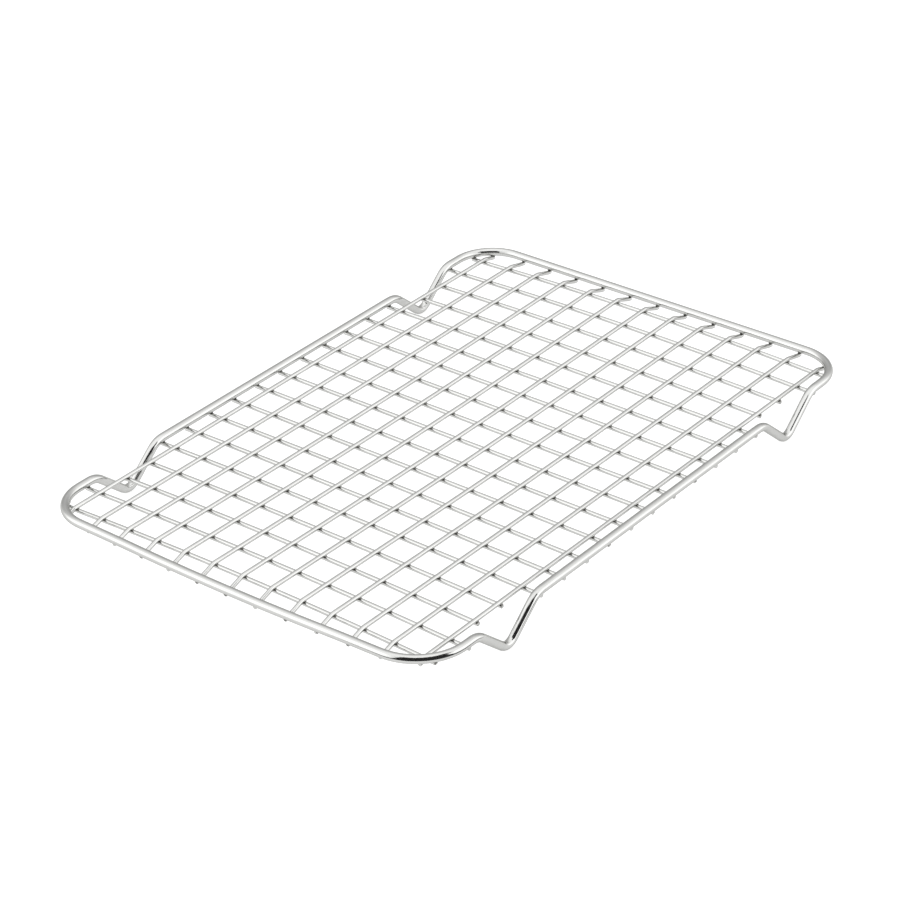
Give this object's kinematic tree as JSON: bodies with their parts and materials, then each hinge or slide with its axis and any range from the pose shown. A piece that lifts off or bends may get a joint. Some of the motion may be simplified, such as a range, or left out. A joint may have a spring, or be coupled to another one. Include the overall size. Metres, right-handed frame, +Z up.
{
  "type": "cooling rack",
  "caption": "Flat rectangular wire rack: a round frame wire bent into low V feet carries a square grid of thinner welded wires.",
  "frame": {"origin": "under the middle of the rack, on the surface that its feet stand on", "axes": "+X along the rack's length, towards the end whose short rail is straight; +Y across its width; +Z up"},
  "size_m": [0.316, 0.214, 0.0185],
  "materials": {
    "frame_wire": "bright plated steel wire, 4 mm, with faint drawing lines along its length",
    "long_wire": "bright plated steel wire, 2 mm, slightly softer gloss than the frame",
    "cross_wire": "bright plated steel wire, 2 mm, slightly softer gloss than the frame"
  },
  "bodies": {
    "root": {"frame_wire": "frame_wire", "long_wire_01": "long_wire", "long_wire_02": "long_wire", "long_wire_03": "long_wire", "long_wire_04": "long_wire", "long_wire_05": "long_wire", "long_wire_06": "long_wire", "long_wire_07": "long_wire", "long_wire_08": "long_wire", "long_wire_09": "long_wire", "long_wire_10": "long_wire", "long_wire_11": "long_wire", "long_wire_12": "long_wire", "long_wire_13": "long_wire", "cross_wire_01": "cross_wire", "cross_wire_02": "cross_wire", "cross_wire_03": "cross_wire", "cross_wire_04": "cross_wire", "cross_wire_05": "cross_wire", "cross_wire_06": "cross_wire", "cross_wire_07": "cross_wire", "cross_wire_08": "cross_wire", "cross_wire_09": "cross_wire", "cross_wire_10": "cross_wire", "cross_wire_11": "cross_wire", "cross_wire_12": "cross_wire", "cross_wire_13": "cross_wire", "cross_wire_14": "cross_wire", "cross_wire_15": "cross_wire", "cross_wire_16": "cross_wire", "cross_wire_17": "cross_wire", "cross_wire_18": "cross_wire", "cross_wire_19": "cross_wire"}
  },
  "joints": []
}
